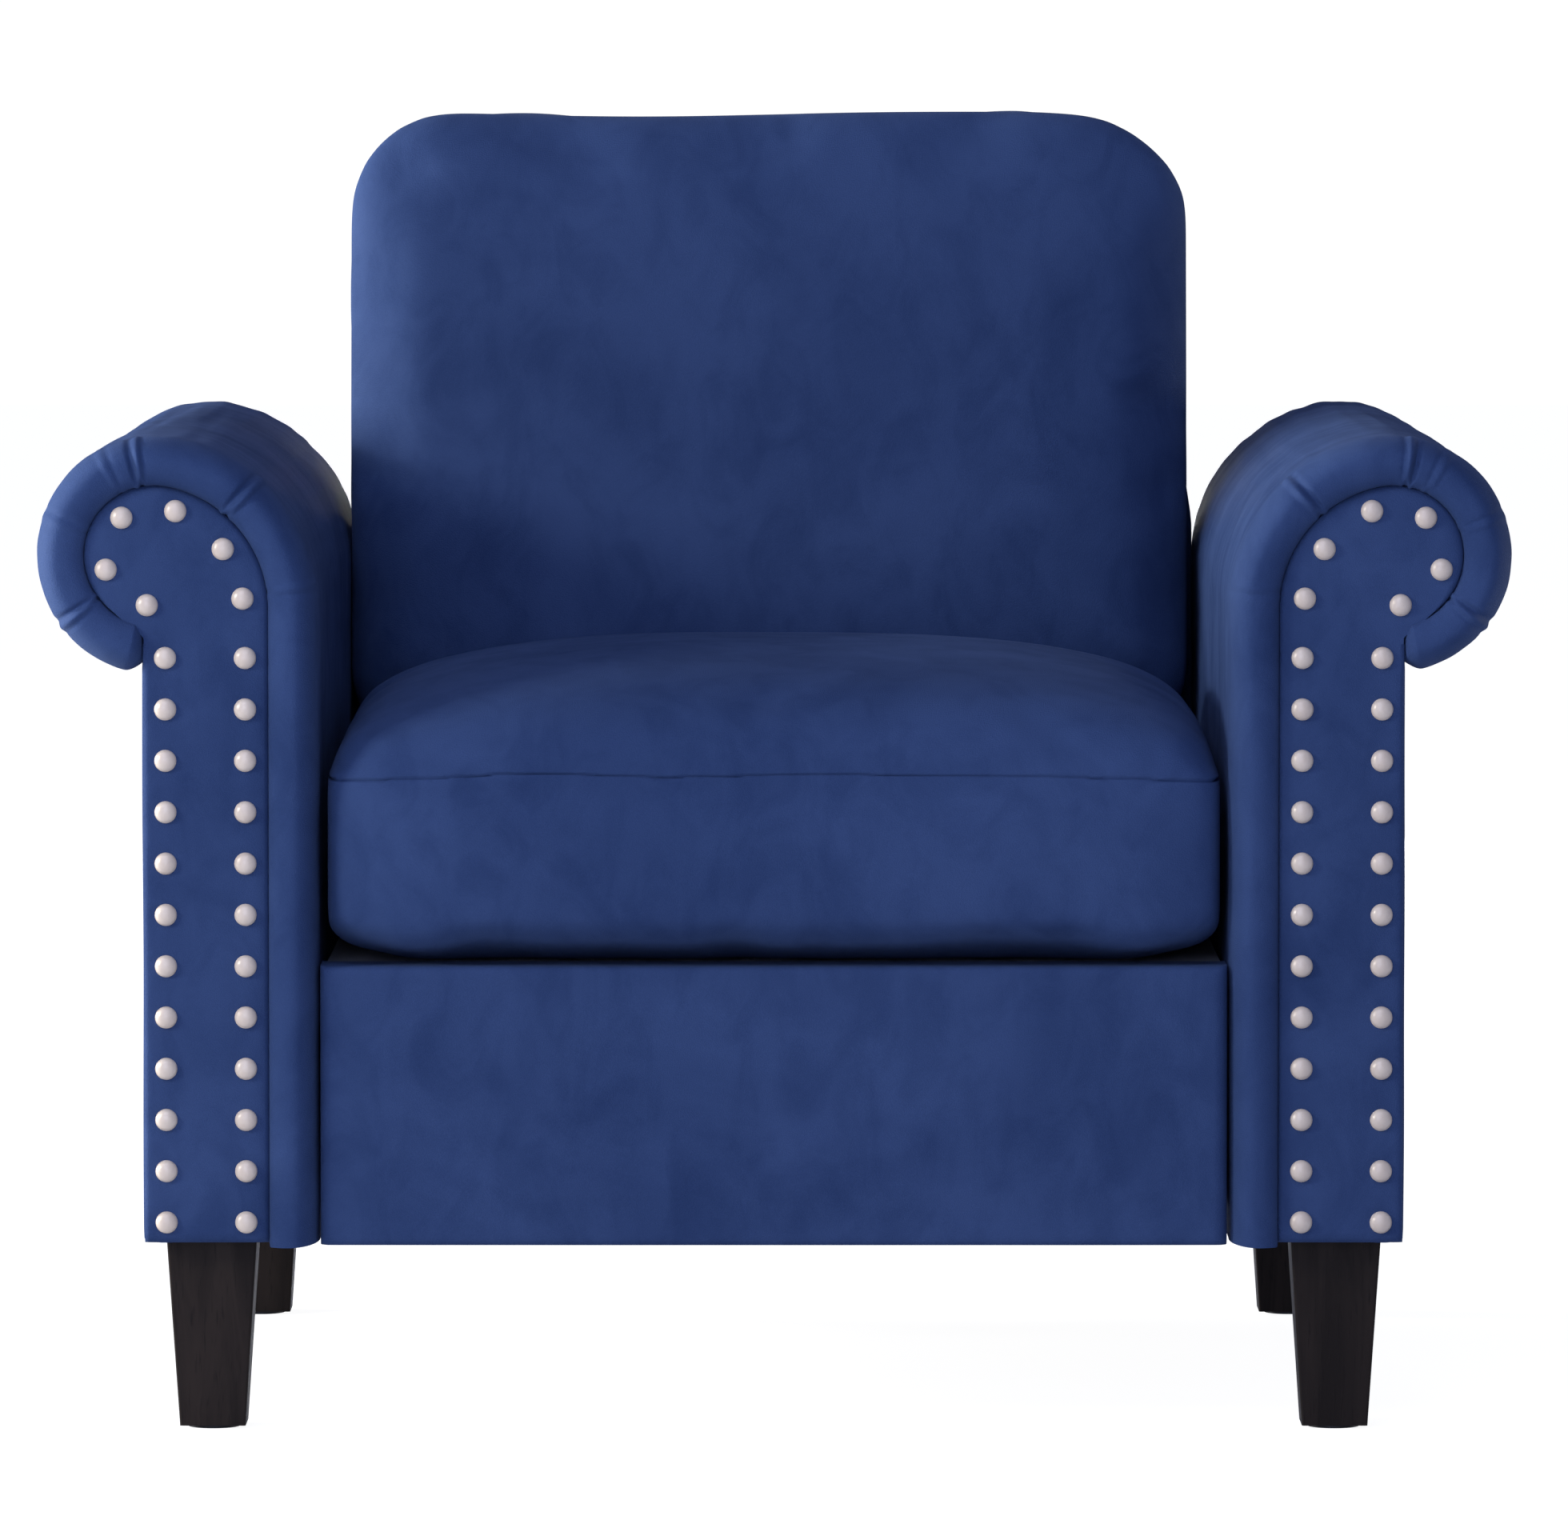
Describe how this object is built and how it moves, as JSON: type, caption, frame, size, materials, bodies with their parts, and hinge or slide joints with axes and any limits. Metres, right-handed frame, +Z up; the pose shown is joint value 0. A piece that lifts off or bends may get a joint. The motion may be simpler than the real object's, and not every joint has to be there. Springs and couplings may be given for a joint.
{
  "type": "upholstered armchair",
  "caption": "Velvet armchair with rolled arms and nail-trimmed facings, a tight padded back, a loose crowned seat cushion with a zip, and tapered square wooden legs.",
  "frame": {"origin": "middle of the footprint, on the floor", "axes": "+Z up, the sitter faces -Y, +X is on the right as seen from the front"},
  "size_m": [0.861, 0.7519, 0.7682],
  "materials": {
    "velvet": "navy velvet with a short pile",
    "foam": "polyurethane foam with polyester wadding",
    "plywood": "bare plywood",
    "hardwood": "bare sawn hardwood",
    "fibreboard": "thin fibreboard",
    "nail_metal": "polished pale nickel",
    "steel": "zinc plated",
    "clip_plastic": "moulded",
    "felt": "needled felt",
    "deck_cloth": "plain woven cloth",
    "dust_cloth": "black non-woven",
    "webbing": "elastic webbing",
    "zip_tape": "woven tape with a nylon coil",
    "zip_metal": "dark enamelled",
    "leg_wood": "espresso stained, satin lacquer",
    "glide_plastic": "hard nylon"
  },
  "bodies": {
    "chair": {"arm_bolt_rail_left": "hardwood", "arm_bolt_rail_right": "hardwood", "arm_bottom_board_left": "plywood", "arm_bottom_board_right": "plywood", "arm_cover_left": "velvet", "arm_cover_right": "velvet", "arm_foam_left": "foam", "arm_foam_right": "foam", "arm_front_former_left": "plywood", "arm_front_former_right": "plywood", "arm_inner_board_left": "fibreboard", "arm_inner_board_right": "fibreboard", "arm_outer_board_left": "fibreboard", "arm_outer_board_right": "fibreboard", "arm_rear_former_left": "plywood", "arm_rear_former_right": "plywood", "arm_scroll_rail_left": "hardwood", "arm_scroll_rail_right": "hardwood", "assembly_bolts": "steel", "back_bottom_rail": "hardwood", "back_boxing": "velvet", "back_cover": "velvet", "back_foam": "foam", "back_lumbar_rail": "hardwood", "back_top_rail": "hardwood", "back_upright_left": "hardwood", "back_upright_right": "hardwood", "back_webbing": "webbing", "deck_cloth": "deck_cloth", "deck_pad": "felt", "dust_cover": "dust_cloth", "facing_board_left": "plywood", "facing_board_right": "plywood", "facing_cover_left": "velvet", "facing_cover_right": "velvet", "frame_screws": "steel", "front_rail_cover": "velvet", "front_rail_foam": "foam", "leg_front_left": "leg_wood", "leg_front_right": "leg_wood", "leg_glides": "glide_plastic", "leg_hanger_bolts": "steel", "leg_rear_left": "leg_wood", "leg_rear_right": "leg_wood", "nailheads_left": "nail_metal", "nailheads_right": "nail_metal", "outside_back": "velvet", "seat_corner_blocks": "hardwood", "seat_front_rail": "hardwood", "seat_rear_rail": "hardwood", "seat_side_rail_left": "hardwood", "seat_side_rail_right": "hardwood", "seat_springs": "steel", "spring_clips": "clip_plastic", "tee_nuts": "steel"},
    "seat_cushion": {"cushion_foam": "foam", "cushion_cover": "velvet", "cushion_zip": "zip_tape"},
    "zip_slider": {"zip_slider": "zip_metal"},
    "zip_pull": {"zip_pull": "zip_metal"}
  },
  "joints": [
    {"name": "seat_cushion_lift", "type": "slide", "parent": "chair", "child": "seat_cushion", "axis": [0, -0.5, 0.866], "range_m": [0, 0.46]},
    {"name": "zip_slide", "type": "slide", "parent": "seat_cushion", "child": "zip_slider", "axis": [-1, 0, 0], "range_m": [0, 0.42]},
    {"name": "zip_pull_swing", "type": "hinge", "parent": "zip_slider", "child": "zip_pull", "pos_m": [0.215, 0.12578, 0.326], "axis": [0, 0, -1], "range_deg": [0, 170]}
  ]
}
